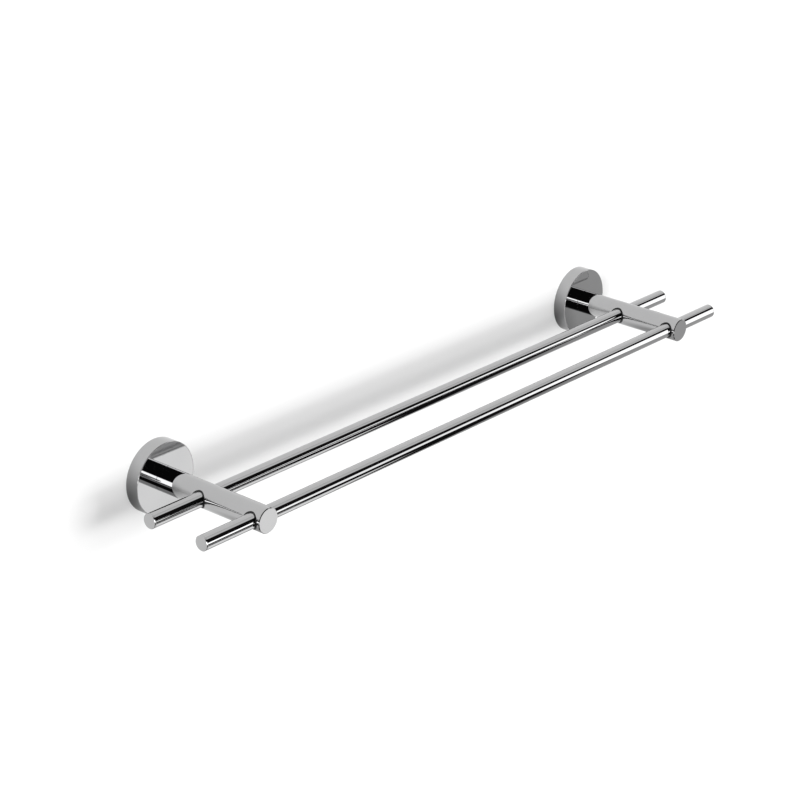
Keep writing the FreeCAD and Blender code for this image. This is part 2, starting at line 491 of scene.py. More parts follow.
@dataclass(frozen=True)
class Lathe:
    """Turns outlines about an axis. Outline points are (along the axis, radius)."""

    centre: Vector
    axis: Vector
    segments: int = PLAIN_ROUND

    @property
    def outward(self) -> Vector:
        """The direction in which the outline is drawn."""
        return self.axis.orthogonal().normalized()

    def turn(self, outline: list[tuple[float, float]], hollow: bool = False) -> bmesh.types.BMesh:
        """Spins an outline into a closed mesh.

        Args:
            outline: Points along the profile. It starts and ends on the axis, or is a loop.
            hollow: Whether the outline is a loop that stays clear of the axis.

        Returns:
            The closed mesh with its faces outwards.
        """
        bm = bmesh.new()
        points = [bm.verts.new(self.centre + self.axis * a + self.outward * r) for a, r in outline]
        pairs = list(zip(points, points[1:]))
        if hollow:
            pairs.append((points[-1], points[0]))
        edges = [bm.edges.new(pair) for pair in pairs]
        bmesh.ops.spin(bm, geom=points + edges, cent=self.centre, axis=self.axis, dvec=(0, 0, 0),
                       angle=math.tau, steps=self.segments, use_merge=True, use_duplicate=False)
        bmesh.ops.remove_doubles(bm, verts=bm.verts, dist=MERGE)
        bmesh.ops.recalc_face_normals(bm, faces=bm.faces)
        return bm

    def place(self, point: Vector) -> tuple[float, float]:
        """Measures a point from the axis.

        Args:
            point: The point.

        Returns:
            Its distance along the axis, from the centre, and its distance from the axis.
        """
        offset = point - self.centre
        along = offset.dot(self.axis)
        return along, (offset - self.axis * along).length

    def radial(self, point: Vector) -> Vector:
        """The direction from the axis to a point."""
        offset = point - self.centre
        return (offset - self.axis * offset.dot(self.axis)).normalized()

    def ring_edges(self, bm: bmesh.types.BMesh, along: float, radius: float) -> list[bmesh.types.BMEdge]:
        """The edges of one turned ring.

        Args:
            bm: The mesh.
            along: The ring's place on the axis.
            radius: The ring's radius.

        Returns:
            Its edges.
        """
        found = []
        for edge in bm.edges:
            places = [self.place(v.co) for v in edge.verts]
            if all(abs(a - along) < TOUCH and abs(r - radius) < TOUCH for a, r in places):
                found.append(edge)
        return found

    def soften(self, bm: bmesh.types.BMesh, along: float, radius: float, width: float,
               segments: int) -> None:
        """Rounds one turned ring.

        Args:
            bm: The mesh.
            along: The ring's place on the axis.
            radius: The ring's radius.
            width: How far the round reaches.
            segments: Its steps.
        """
        edges = self.ring_edges(bm, along, radius)
        bmesh.ops.bevel(bm, geom=edges, offset=width, offset_type="OFFSET", segments=segments,
                        profile=0.5, affect="EDGES", material=-1)

    def rod(self, start: float, end: float, radius: float) -> bmesh.types.BMesh:
        """A plain closed rod between two places on the axis."""
        return self.turn([(start, 0.0), (start, radius), (end, radius), (end, 0.0)])


@dataclass(frozen=True)
class Skin:
    """A round wall about an axis, outside or inside, whose true normals are known."""

    lathe: Lathe
    radius: float
    slack: float = 0.01 * MM

    def covers(self, mesh: bpy.types.Mesh, face: bpy.types.MeshPolygon) -> bool:
        """Tells whether a face lies on this wall.

        Args:
            mesh: The face's mesh.
            face: The face.

        Returns:
            True where it stands along the axis and all its corners are at the wall's radius.
        """
        if abs(face.normal.dot(self.lathe.axis)) > UPRIGHT:
            return False
        corners = (mesh.vertices[index].co for index in face.vertices)
        return all(abs(self.lathe.place(corner)[1] - self.radius) < self.slack for corner in corners)

    def normal(self, point: Vector, like: Vector) -> Vector:
        """The wall's normal at a point, on the same side as a face's own normal."""
        radial = self.lathe.radial(point)
        return radial if radial.dot(like) > 0 else -radial


@dataclass(frozen=True)
class Chamfer:
    """The turned chamfers about an axis."""

    lathe: Lathe

    def normal(self, point: Vector, like: Vector) -> Vector:
        """The cone's normal at a point.

        Args:
            point: The point.
            like: The flat normal of the face there, which tells the cone's slope and side.

        Returns:
            The normal.
        """
        slope = like.dot(self.lathe.axis)
        radial = self.lathe.radial(point)
        side = 1.0 if radial.dot(like) > 0 else -1.0
        across = math.sqrt(max(0.0, 1.0 - slope * slope))
        return (self.lathe.axis * slope + radial * side * across).normalized()


@dataclass(frozen=True)
class Drilling:
    """A round hole."""

    lathe: Lathe
    start: float
    end: float
    radius: float

    def cutter(self) -> bmesh.types.BMesh:
        """The rod that cuts the hole."""
        return self.lathe.rod(self.start, self.end, self.radius)

    def skin(self) -> Skin:
        """The hole's wall."""
        return Skin(self.lathe, self.radius)


@dataclass(frozen=True)
class Polish:
    """Gives a mesh the normals of the round and flat surfaces that it stands for."""

    skins: tuple[Skin, ...]
    flat_axis: Vector
    chamfer: Chamfer | None = None

    def rule(self, mesh: bpy.types.Mesh, face: bpy.types.MeshPolygon) -> Skin | Chamfer | Vector | None:
        """Finds what a face is part of.

        Args:
            mesh: The face's mesh.
            face: The face.

        Returns:
            The normal of a flat end, the round wall, the chamfer, or None for a small round.
        """
        if abs(face.normal.dot(self.flat_axis)) > FLAT:
            return face.normal.copy()
        return next((skin for skin in self.skins if skin.covers(mesh, face)), self.chamfer)

    def apply(self, mesh: bpy.types.Mesh) -> None:
        """Sets the normals.

        Args:
            mesh: A finished mesh with its faces outwards.
        """
        rules = [self.rule(mesh, face) for face in mesh.polygons]
        normals = [Vector((0, 0, 1)) for _ in mesh.loops]
        shared: dict[int, Vector] = {}
        loose: dict[int, Vector] = {}
        for face, rule in zip(mesh.polygons, rules):
            for loop, vertex in zip(face.loop_indices, face.vertices):
                if rule is None:
                    loose[vertex] = loose.get(vertex, Vector()) + face.normal * face.area
                    continue
                point = mesh.vertices[vertex].co
                normals[loop] = rule if isinstance(rule, Vector) else rule.normal(point, face.normal)
                shared[vertex] = shared.get(vertex, Vector()) + normals[loop]
        for face, rule in zip(mesh.polygons, rules):
            if rule is None:
                for loop, vertex in zip(face.loop_indices, face.vertices):
                    normals[loop] = shared.get(vertex, loose[vertex]).normalized()
        mesh.normals_split_custom_set(normals)


def as_object(bm: bmesh.types.BMesh, name: str) -> bpy.types.Object:
    """Makes an object from a mesh and frees the mesh's working copy.

    Args:
        bm: The working mesh.
        name: The object's name.

    Returns:
        The object, at the origin.
    """
    mesh = bpy.data.meshes.new(name)
    bm.to_mesh(mesh)
    bm.free()
    made = bpy.data.objects.new(name, mesh)
    bpy.context.scene.collection.objects.link(made)
    return made


def carved(bm: bmesh.types.BMesh, cutters: Iterable[bmesh.types.BMesh]) -> bmesh.types.BMesh:
    """Cuts closed meshes out of another.

    Args:
        bm: The mesh to cut. It is used up.
        cutters: The meshes to take away. They are used up.

    Returns:
        What is left, as a new working mesh.
    """
    body = as_object(bm, "body_blank")
    tools = [as_object(cutter, "cutter_blank") for cutter in cutters]
    for tool in tools:
        cut = body.modifiers.new("cut", "BOOLEAN")
        cut.operation = "DIFFERENCE"
        cut.solver = "EXACT"
        cut.object = tool
    graph = bpy.context.evaluated_depsgraph_get()
    result = bmesh.new()
    result.from_mesh(body.evaluated_get(graph).to_mesh())
    for used in [body, *tools]:
        mesh = used.data
        bpy.data.objects.remove(used)
        bpy.data.meshes.remove(mesh)
    bmesh.ops.remove_doubles(result, verts=result.verts, dist=MERGE)
    return result


@dataclass
class Workshop:
    """Finishes pieces and keeps the materials."""

    materials: dict[Slot, bpy.types.Material] = field(default_factory=dict)

    def finish(self, slot: Slot) -> bpy.types.Material:
        """The material of a slot, made once."""
        if slot not in self.materials:
            self.materials[slot] = FINISHES[slot].material()
        return self.materials[slot]

    def deliver(self, bm: bmesh.types.BMesh, node: str, slot: Slot, polish: Polish) -> bpy.types.Object:
        """Turns a working mesh into a finished piece that stands for a CAD node.

        Args:
            bm: The working mesh.
            node: The CAD node that the piece replaces.
            slot: Its material slot.
            polish: Its true surfaces.

        Returns:
            The finished piece.
        """
        piece = as_object(bm, f"{node}_turned")
        piece.data.materials.append(self.finish(slot))
        for face in piece.data.polygons:
            face.use_smooth = True
        polish.apply(piece.data)
        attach(piece, BODY)
        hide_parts(node)
        log.info("%s: %d faces, %s", piece.name, len(piece.data.polygons), slot.value)
        return piece

    def dress(self, node: str, slot: Slot) -> None:
        """Gives a CAD node its finish.

        Args:
            node: The node's name.
            slot: Its material slot.
        """
        part = frame["nodes"][node]
        part.data.materials.clear()
        part.data.materials.append(self.finish(slot))
        log.info("%s: CAD node, %s", node, slot.value)


# ---- the pieces -------------------------------------------------------------------


def middle(node: str) -> Vector:
    """The middle of a CAD node's box."""
    low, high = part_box(node)
    return (low + high) / 2


def span(node: str, axis: int) -> float:
    """A CAD node's size along one axis."""
    low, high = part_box(node)
    return high[axis] - low[axis]


def back_of(node: str) -> Vector:
    """The middle of a CAD node's side that faces the wall."""
    centre = middle(node)
    return Vector((centre.x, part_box(node)[1].y, centre.z))


@dataclass
class Rail:
    """One round tube with its two end caps."""

    depth: Depth
    wall: float = 1.0 * MM
    cap: float = 1.0 * MM
    cap_chamfer: float = 0.3 * MM
    seam: float = 0.15 * MM
    stem_play: float = 0.05 * MM
    stem_chamfer: float = 0.4 * MM
    tube_round: float = 0.12 * MM

    @property
    def node(self) -> str:
        """The tube's CAD node."""
        return f"{self.depth.value}_rail_tube"

    @property
    def radius(self) -> float:
        """The tube's outer radius."""
        return span(self.node, 2) / 2

    @property
    def shank(self) -> float:
        """The radius of a cap's stem, which slides into the tube."""
        return self.radius - self.wall - self.stem_play

    @property
    def length(self) -> float:
        """The tube's length without its caps."""
        return span(self.node, 0)

    def cap_node(self, side: Side) -> str:
        """The CAD node of one end cap."""
        return f"{side.word}_{self.depth.value}_rail_end_cap"

    def tube(self) -> bmesh.types.BMesh:
        """The open tube, its end edges just broken."""
        lathe = Lathe(middle(self.node), ALONG)
        end, outer = self.length / 2, self.radius
        inner = outer - self.wall
        bm = lathe.turn([(-end, inner), (-end, outer), (end, outer), (end, inner)], hollow=True)
        for at in (-end, end):
            lathe.soften(bm, at, outer, self.tube_round, SMALL_EDGE)
        return bm

    def end_cap(self, side: Side) -> bmesh.types.BMesh:
        """A flat plug with a fine groove at its seam.

        Args:
            side: Which end of the rail.

        Returns:
            The plug, stem included.
        """
        node = self.cap_node(side)
        stem = span(node, 0) - self.cap
        start = Vector((side.value * (self.length / 2 - stem), middle(node).y, middle(node).z))
        lathe = Lathe(start, ALONG * side.value)
        outer, top = self.radius, stem + self.cap
        return lathe.turn([
            (0.0, 0.0), (0.0, self.shank - self.stem_chamfer), (self.stem_chamfer, self.shank),
            (stem, self.shank), (stem, outer - self.seam), (stem + self.seam, outer),
            (top - self.cap_chamfer, outer), (top, outer - self.cap_chamfer), (top, 0.0),
        ])

    def build(self, shop: Workshop) -> None:
        """Builds the tube and both caps.

        Args:
            shop: The workshop that finishes them.
        """
        lathe = Lathe(middle(self.node), ALONG)
        radii = (self.radius, self.radius - self.wall, self.shank)
        polish = Polish(tuple(Skin(lathe, radius) for radius in radii), lathe.axis, Chamfer(lathe))
        shop.deliver(self.tube(), self.node, Slot.CHROME, polish)
        for side in Side:
            shop.deliver(self.end_cap(side), self.cap_node(side), Slot.CHROME, polish)


@dataclass
class Post:
    """A turned bar with two cross bores, set screw holes and the holes in its foot."""

    side: Side
    rails: tuple[Rail, ...]
    foot_chamfer: float = 0.2 * MM
    end_chamfer: float = 0.5 * MM
    sleeve_play: float = 0.05 * MM
    bolt_hole: float = 3.05 * MM
    bolt_hole_depth: float = 16.0 * MM
    pin_hole: float = 1.55 * MM
    pin_hole_depth: float = 5.0 * MM
    pin_offset: float = 6.5 * MM
    set_screw_hole: float = 2.05 * MM
    overrun: float = 1.0 * MM

    @property
    def node(self) -> str:
        """The post's CAD node."""
        return f"{self.side.word}_post"

    def sleeve_node(self, rail: Rail) -> str:
        """The CAD node of the sleeve around one rail."""
        return f"{self.side.word}_{rail.depth.value}_rail_sleeve"

    @property
    def foot(self) -> Vector:
        """The middle of the end that stands on the rosette."""
        return back_of(self.node)

    @property
    def radius(self) -> float:
        """The bar's radius."""
        return span(self.node, 2) / 2

    def blank(self) -> bmesh.types.BMesh:
        """The turned bar before it is drilled."""
        length = span(self.node, 1)
        return Lathe(self.foot, FORWARD, LARGE_ROUND).turn([
            (0.0, 0.0), (0.0, self.radius - self.foot_chamfer), (self.foot_chamfer, self.radius),
            (length - self.end_chamfer, self.radius), (length, self.radius - self.end_chamfer),
            (length, 0.0),
        ])

    def drillings(self) -> list[Drilling]:
        """The holes in the foot, the two cross bores and their set screw holes."""
        bolt = Lathe(self.foot, FORWARD, SCREW_ROUND)
        pin = Lathe(self.foot - DOWN * self.pin_offset, FORWARD, PIN_ROUND)
        found = [
            Drilling(bolt, -self.overrun, self.bolt_hole_depth, self.bolt_hole),
            Drilling(pin, -self.overrun, self.pin_hole_depth, self.pin_hole),
        ]
        reach = 2 * self.radius
        for rail in self.rails:
            at = Vector((self.foot.x, middle(rail.node).y, self.foot.z))
            bore = span(self.sleeve_node(rail), 1) / 2 + self.sleeve_play
            found.append(Drilling(Lathe(at, ALONG, BORE_ROUND), -reach, reach, bore))
            found.append(Drilling(Lathe(at, DOWN, SCREW_ROUND), 0.0, reach, self.set_screw_hole))
        return found

    def build(self, shop: Workshop) -> None:
        """Builds the bar and dresses its sleeves.

        Args:
            shop: The workshop that finishes it.
        """
        drillings = self.drillings()
        bar = carved(self.blank(), [drilling.cutter() for drilling in drillings])
        lathe = Lathe(self.foot, FORWARD)
        skins = (Skin(lathe, self.radius), *(drilling.skin() for drilling in drillings))
        polish = Polish(skins, lathe.axis, Chamfer(lathe))
        shop.deliver(bar, self.node, Slot.CHROME, polish)
        for rail in self.rails:
            shop.dress(self.sleeve_node(rail), Slot.NYLON)


def set_screw_axis(side: Side, back: Vector) -> Lathe:
    """The downward axis of the set screw that holds a rosette on its bracket.

    Args:
        side: The end of the rack.
        back: The middle of the piece's side that faces the wall.

    Returns:
        The axis, from the level of the rosette's middle.
    """
    screw = middle(f"{side.word}_rosette_grub_screw")
    return Lathe(Vector((screw.x, screw.y, back.z)), DOWN, SCREW_ROUND)


@dataclass
class Rosette:
    """The turned cup on the wall, with holes for its bolt, dowel pin and set screw."""

    side: Side
    face: float = 3.0 * MM
    rim: float = 2.0 * MM
    edge_round: float = 0.5 * MM
    back_round: float = 0.25 * MM
    bolt_hole: float = 3.2 * MM
    pin_hole: float = 1.55 * MM
    pin_offset: float = 6.5 * MM
    set_screw_hole: float = 2.05 * MM

    @property
    def node(self) -> str:
        """The cup's CAD node."""
        return f"{self.side.word}_rosette"

    def drillings(self, back: Vector, depth: float, inner: float) -> list[Drilling]:
        """The dowel pin hole in the face and the set screw hole below.

        Args:
            back: The middle of the cup's open side, against the wall.
            depth: The cup's depth.
            inner: The cup's inner radius.

        Returns:
            The holes.
        """
        pin = Lathe(back - DOWN * self.pin_offset, FORWARD, PIN_ROUND)
        screw = set_screw_axis(self.side, back)
        through = 2 * (inner + self.rim)
        return [
            Drilling(pin, depth - 2 * self.face, 2 * depth, self.pin_hole),
            Drilling(screw, inner - self.rim, through, self.set_screw_hole),
        ]

    def build(self, shop: Workshop) -> None:
        """Builds the flat fronted cup, which throws no shadow on the wall.

        Args:
            shop: The workshop that finishes it.
        """
        back = back_of(self.node)
        depth, outer = span(self.node, 1), span(self.node, 2) / 2
        inner = outer - self.rim
        lathe = Lathe(back, FORWARD, LARGE_ROUND)
        bm = lathe.turn([
            (0.0, inner), (0.0, outer), (depth, outer), (depth, self.bolt_hole),
            (depth - self.face, self.bolt_hole), (depth - self.face, inner),
        ], hollow=True)
        lathe.soften(bm, depth, outer, self.edge_round, FINE_EDGE)
        lathe.soften(bm, 0.0, outer, self.back_round, SMALL_EDGE)
        drillings = self.drillings(back, depth, inner)
        cup = carved(bm, [drilling.cutter() for drilling in drillings])
        walls = [Skin(lathe, radius) for radius in (outer, inner, self.bolt_hole)]
        polish = Polish((*walls, *(drilling.skin() for drilling in drillings)), FORWARD)
        shop.deliver(cup, self.node, Slot.CHROME, polish).visible_shadow = False


@dataclass
class WallBracket:
    """The pressed dish that the rosette hides."""

    side: Side
    base: float = 2.0 * MM
    flange: float = 2.0 * MM
    window: float = 9.0 * MM
    press_round: float = 0.6 * MM
    wall_hole: float = 2.5 * MM
    point_hole: float = 1.6 * MM

    @property
    def node(self) -> str:
        """The bracket's CAD node."""
        return f"{self.side.word}_wall_bracket"

    def hole_levels(self) -> tuple[float, float]:
        """The heights of the two wall holes, from the record's mount."""
        mounts = {mount["name"]: mount for mount in frame["record"]["mounts"]}
        half = mounts["wall_fixings"]["dims"]["spacing_y_mm"] * MM / 2
        return -half, half

    def build(self, shop: Workshop) -> None:
        """Builds the dish with its window and holes.

        Args:
            shop: The workshop that finishes it.
        """
        back = back_of(self.node)
        depth, outer = span(self.node, 1), span(self.node, 2) / 2
        inner = outer - self.flange
        lathe = Lathe(back, FORWARD, DISH_ROUND)
        bm = lathe.turn([
            (0.0, self.window), (0.0, outer), (depth, outer), (depth, inner),
            (self.base, inner), (self.base, self.window),
        ], hollow=True)
        for along, radius in ((0.0, outer), (depth, outer), (depth, inner), (self.base, inner)):
            lathe.soften(bm, along, radius, self.press_round, FINE_EDGE)
        point = set_screw_axis(self.side, back)
        drillings = [Drilling(point, inner - self.flange, 2 * outer, self.point_hole)]
        for level in self.hole_levels():
            hole = Lathe(back - DOWN * level, FORWARD, WALL_HOLE_ROUND)
            drillings.append(Drilling(hole, -depth, 2 * depth, self.wall_hole))
        dish = carved(bm, [drilling.cutter() for drilling in drillings])
        walls = [Skin(lathe, radius) for radius in (outer, inner, self.window)]
        polish = Polish((*walls, *(drilling.skin() for drilling in drillings)), FORWARD)
        shop.deliver(dish, self.node, Slot.ZINC, polish)


@dataclass
class Fasteners:
    """The bolts, washers, pins and set screws, which keep their CAD shapes."""

    side: Side

    def build(self, shop: Workshop) -> None:
        """Gives each fastener its finish.

        Args:
            shop: The workshop that keeps the finishes.
        """
        for piece in ("post_bolt", "spring_washer", "dowel_pin"):
            shop.dress(f"{self.side.word}_{piece}", Slot.STAINLESS)
        for piece in ("rosette", *(f"{depth.value}_rail" for depth in Depth)):
            shop.dress(f"{self.side.word}_{piece}_grub_screw", Slot.BLACK)


# ---- the wall, the studio and the camera -----------------------------------------


@dataclass
class Wall:
    """The white wall behind the rack, which can't be seen from behind."""

    half_size: float = 6.0
    gap: float = 0.5 * MM
    hole: float = 26.0 * MM
    punch: float = 5.0 * MM
    white: Colour = (0.86, 0.86, 0.86, 1.0)
    black: Colour = (0.0, 0.0, 0.0, 1.0)
    clear: Colour = (1.0, 1.0, 1.0, 1.0)
    # Painted shade beside each rosette's foot: where and how much darker the wall is drawn for mirror
    # rays only.
    shade_side: tuple[float, float] = (-0.87, -0.50)
    shade_focus: float = 2.4
    shade_reach: float = 42.0 * MM
    shade_fade: float = 24.0 * MM
    shade_depth: float = 0.62
    # Painted shade for mirror rays only: a flat darkening of the whole wall, and a stronger one low
    # down.
    mirror_painted_shade: float = 0.10
    low_painted_shade: float = 0.45
    low_edge: float = -100.0 * MM
    low_fade: float = 60.0 * MM

    def foot_shade(self, graph: Graph, where: bpy.types.NodeSocket, centre: Vector) -> Signal:
        """The painted shade at the lower left of a rosette, which only mirror rays see, as its rim
        mirrors it.

        Args:
            graph: The material's graph.
            where: The object coordinates.
            centre: The rosette's middle.

        Returns:
            The painted shade, from 0 to 1.
        """
        x, _, z = graph.axes(where)
        across, up = x - centre.x, z - centre.z
        distance = (across * across + up * up).power(0.5)
        to_side, to_foot = self.shade_side
        side = ((across * to_side + up * to_foot) / distance).clamped()
        return side.power(self.shade_focus) * distance.below(self.shade_reach, self.shade_fade)

    def material(self, centres: Iterable[Vector]) -> bpy.types.Material:
        """Matt white paint in front, with painted shade that only mirror rays see beside the rosettes,
        low down and a little everywhere, and nothing behind.

        Args:
            centres: The middles of the rosettes.

        Returns:
            The material.
        """
        material, graph, where = new_material("white_paint")
        paint = graph.node("ShaderNodeBsdfDiffuse", {}, {"Color": self.white, "Roughness": 0.0})
        dark = graph.node("ShaderNodeBsdfDiffuse", {}, {"Color": self.black, "Roughness": 0.0})
        clear = graph.node("ShaderNodeBsdfTransparent", {}, {"Color": self.clear})
        mirrored = graph.number("ShaderNodeLightPath", {}, {}, "Is Glossy Ray")
        shades = [self.foot_shade(graph, where, centre) for centre in centres]
        low = graph.axes(where)[2].below(self.low_edge, self.low_fade)
        # Painted shade: for mirror rays only, the paint is mixed towards black beside the rosettes, low
        # down and a little everywhere.
        painted_shade_amount = sum(shades[1:], shades[0]) * self.shade_depth + low * self.low_painted_shade + self.mirror_painted_shade
        mirrored_painted_shade = mirrored * painted_shade_amount.clamped()
        front = graph.blend(mirrored_painted_shade, paint, dark)
        behind = graph.number("ShaderNodeNewGeometry", {}, {}, "Backfacing")
        sheet = graph.blend(behind, front, clear)
        graph.node("ShaderNodeOutputMaterial", {}, {"Surface": sheet.outputs[0]})
        return material

    def build(self, rosettes: Iterable[Rosette]) -> None:
        """Builds the wall, open behind each rosette so that light reaches its back.

        Args:
            rosettes: The rosettes that cover the openings.
        """
        bm = bmesh.new()
        upright = Matrix.Rotation(math.radians(90), 4, "X")
        placed = Matrix.Translation((0.0, self.gap, 0.0)) @ upright
        bmesh.ops.create_grid(bm, x_segments=1, y_segments=1, size=self.half_size, matrix=placed)
        centres = [middle(rosette.node) for rosette in rosettes]
        feet = [Lathe(Vector((at.x, 0.0, at.z)), -FORWARD, WALL_OPENING_ROUND) for at in centres]
        sheet = carved(bm, [foot.rod(-self.punch, self.punch, self.hole) for foot in feet])
        # The cut leaves the far half of each rod on the sheet as a cup, which would close it.
        cups = [face for face in sheet.faces if any(abs(v.co.y - self.gap) > MM for v in face.verts)]
        bmesh.ops.delete(sheet, geom=cups, context="FACES")
        wall = as_object(sheet, "wall")
        wall.data.materials.append(self.material(centres))
        wall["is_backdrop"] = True
        log.info("wall: %.1f m wide", 2 * self.half_size)


# Round chrome spreads the height of what it mirrors into stripes along its length, so the
# studio is laid out by climb, and by x, the part of a direction that runs along the rails.
RAIL_LEFT, RAIL_RIGHT = 0.65, 0.80      # x of what the two ends of the rails mirror
WIDE_FROM, WIDE_TO = 0.67, 0.93         # where along the rails their stripes grow wider
AHEAD_EDGE, AHEAD_SOFTNESS = 0.60, 0.06
BEHIND_WALL_EDGE, BEHIND_WALL_SOFTNESS = 0.06, 0.08


@dataclass(frozen=True)
class Ray:
    """The direction of a mirror ray, in the measures by which the studio is laid out."""

    x: Signal
    y: Signal
    z: Signal
    climb: Signal      # degrees above the horizon in front of the wall
    along: Signal      # 0 for what a rail's left end mirrors, 1 for its right end
    late: Signal       # the same, held between 0 and 1
    ahead: Signal      # 1 for what the rails and posts themselves mirror, 0 elsewhere

    @staticmethod
    def of(graph: Graph) -> "Ray":
        """Reads the ray.

        Args:
            graph: The world's graph.

        Returns:
            The ray in all its measures.
        """
        way = graph.node("ShaderNodeTexCoord", {}, {}).outputs["Generated"]
        x, y, z = graph.axes(way)
        climb = graph.math("ARCTAN2", z, -y) * math.degrees(1.0)
        along = (x - RAIL_LEFT) / (RAIL_RIGHT - RAIL_LEFT)
        ahead = x.above(AHEAD_EDGE, AHEAD_SOFTNESS)
        return Ray(x, y, z, climb, along, along.clamped(), ahead)

    @property
    def wide(self) -> Signal:
        """Rises to 1 over the right third of the rails, where their stripes are wider."""
        return self.late.rise(WIDE_FROM, WIDE_TO)


@dataclass(frozen=True)
class Band:
    """A stretch of one measure, with soft edges."""

    low: float
    high: float
    softness: float

    def holds(self, measure: Signal) -> Signal:
        """Is 1 where the measure lies in the stretch."""
        return measure.between(self.low, self.high, self.softness)


@dataclass(frozen=True)
class Card:
    """A soft edged card in front of the wall."""

    climb: Band
    x: Band
    tone: float

    def light(self, ray: Ray) -> Signal:
        """The card's brightness."""
        return self.climb.holds(ray.climb) * self.x.holds(ray.x) * self.tone


@dataclass(frozen=True)
class Ceiling:
    """The pale ceiling. It comes down lower ahead, but not at the rails' right ends."""

    edge: float = 68.0
    drop_ahead: float = 13.0
    lift_late: float = 15.0
    lift_from: float = 0.80
    softness: float = 4.0
    tone: float = 1.363
    fade: float = 0.007

    def light(self, ray: Ray) -> Signal:
        """The ceiling's brightness, which fades upwards.

        Args:
            ray: The mirror ray.

        Returns:
            The brightness.
        """
        lift = ray.late.rise(self.lift_from, 1.0) * self.lift_late
        edge = self.edge - ray.ahead * self.drop_ahead + lift
        return ray.climb.above(edge, self.softness) * (self.tone - ray.climb * self.fade)


@dataclass(frozen=True)
class Strip:
    """The bright strip at the horizon: the white line on the rails, and on the mirrored posts."""

    top: float = 24.0
    top_drop_ahead: float = 20.0
    top_lift_late: float = 32.0
    foot: float = -14.0
    foot_lift: float = 7.0
    lift_over: tuple[float, float] = (0.30, 0.45)
    foot_drop_wide: float = 15.0
    softness: float = 3.0
    tone: float = 1.75
    tone_late: float = 0.6
    late_over: tuple[float, float] = (0.5, 0.8)
    tone_early: float = 0.9
    early_over: tuple[float, float] = (0.0, 0.2)
    back_edge: float = -0.69
    back_softness: float = 0.03
    back_tone: float = 4.4
    split: Band = Band(-1.0, 8.0, 3.0)
    split_edge: float = -0.79
    split_softness: float = 0.02
    split_depth: float = 0.92

    def foot_at(self, ray: Ray) -> Signal:
        """The climb at which the strip begins."""
        lift = ray.late.rise(*self.lift_over) * self.foot_lift
        return self.foot + lift - ray.wide * self.foot_drop_wide

    def light(self, ray: Ray) -> Signal:
        """The strip's brightness: ahead for the rails, and at the other side for mirrored posts.

        At that side a dark gap splits the strip where the right rosette mirrors its post.

        Args:
            ray: The mirror ray.

        Returns:
            The brightness.
        """
        top = self.top - ray.ahead * self.top_drop_ahead + ray.late * self.top_lift_late
        late = ray.late.rise(*self.late_over) * self.tone_late
        early = (1.0 - ray.late.rise(*self.early_over)) * self.tone_early
        gap = self.split.holds(ray.climb) * ray.x.below(self.split_edge, self.split_softness)
        rails = (self.tone + late + early) * ray.ahead
        posts = ray.x.below(self.back_edge, self.back_softness) * (1.0 - gap * self.split_depth)
        within = ray.climb.between(self.foot_at(ray), top, self.softness)
        return within * (rails + posts * self.back_tone)


@dataclass(frozen=True)
class LowCard:
    """The bright card low down, for the left part of the rails. Its end runs aslant."""

    edge: float = -49.0
    softness: float = 3.0
    end: float = 0.27
    end_climb: float = -78.0
    end_slant: float = 0.00455
    end_softness: float = 0.05
    tone: float = 1.3

    def light(self, ray: Ray) -> Signal:
        """The card's brightness.

        Args:
            ray: The mirror ray.

        Returns:
            The brightness.
        """
        past_end = ray.along - self.end - (ray.climb - self.end_climb) * self.end_slant
        within = ray.climb.below(self.edge, self.softness) * past_end.below(0.0, self.end_softness)
        return within * ray.ahead * self.tone


@dataclass(frozen=True)
class GreyCard:
    """The grey card low down, for the right part of the rails. Its start runs aslant."""

    softness: float = 3.0
    start: float = 0.47
    start_climb: float = -85.0
    start_slant: float = 0.0054
    start_softness: float = 0.08
    tone: float = 0.38
    tone_wide: float = 0.18

    def light(self, ray: Ray, top: Signal) -> Signal:
        """The card's brightness.

        Args:
            ray: The mirror ray.
            top: The climb up to which the card reaches.

        Returns:
            The brightness.
        """
        past_start = ray.along - self.start - (ray.climb - self.start_climb) * self.start_slant
        within = ray.climb.below(top, self.softness) * past_start.above(0.0, self.start_softness)
        return within * (self.tone + ray.wide * self.tone_wide)


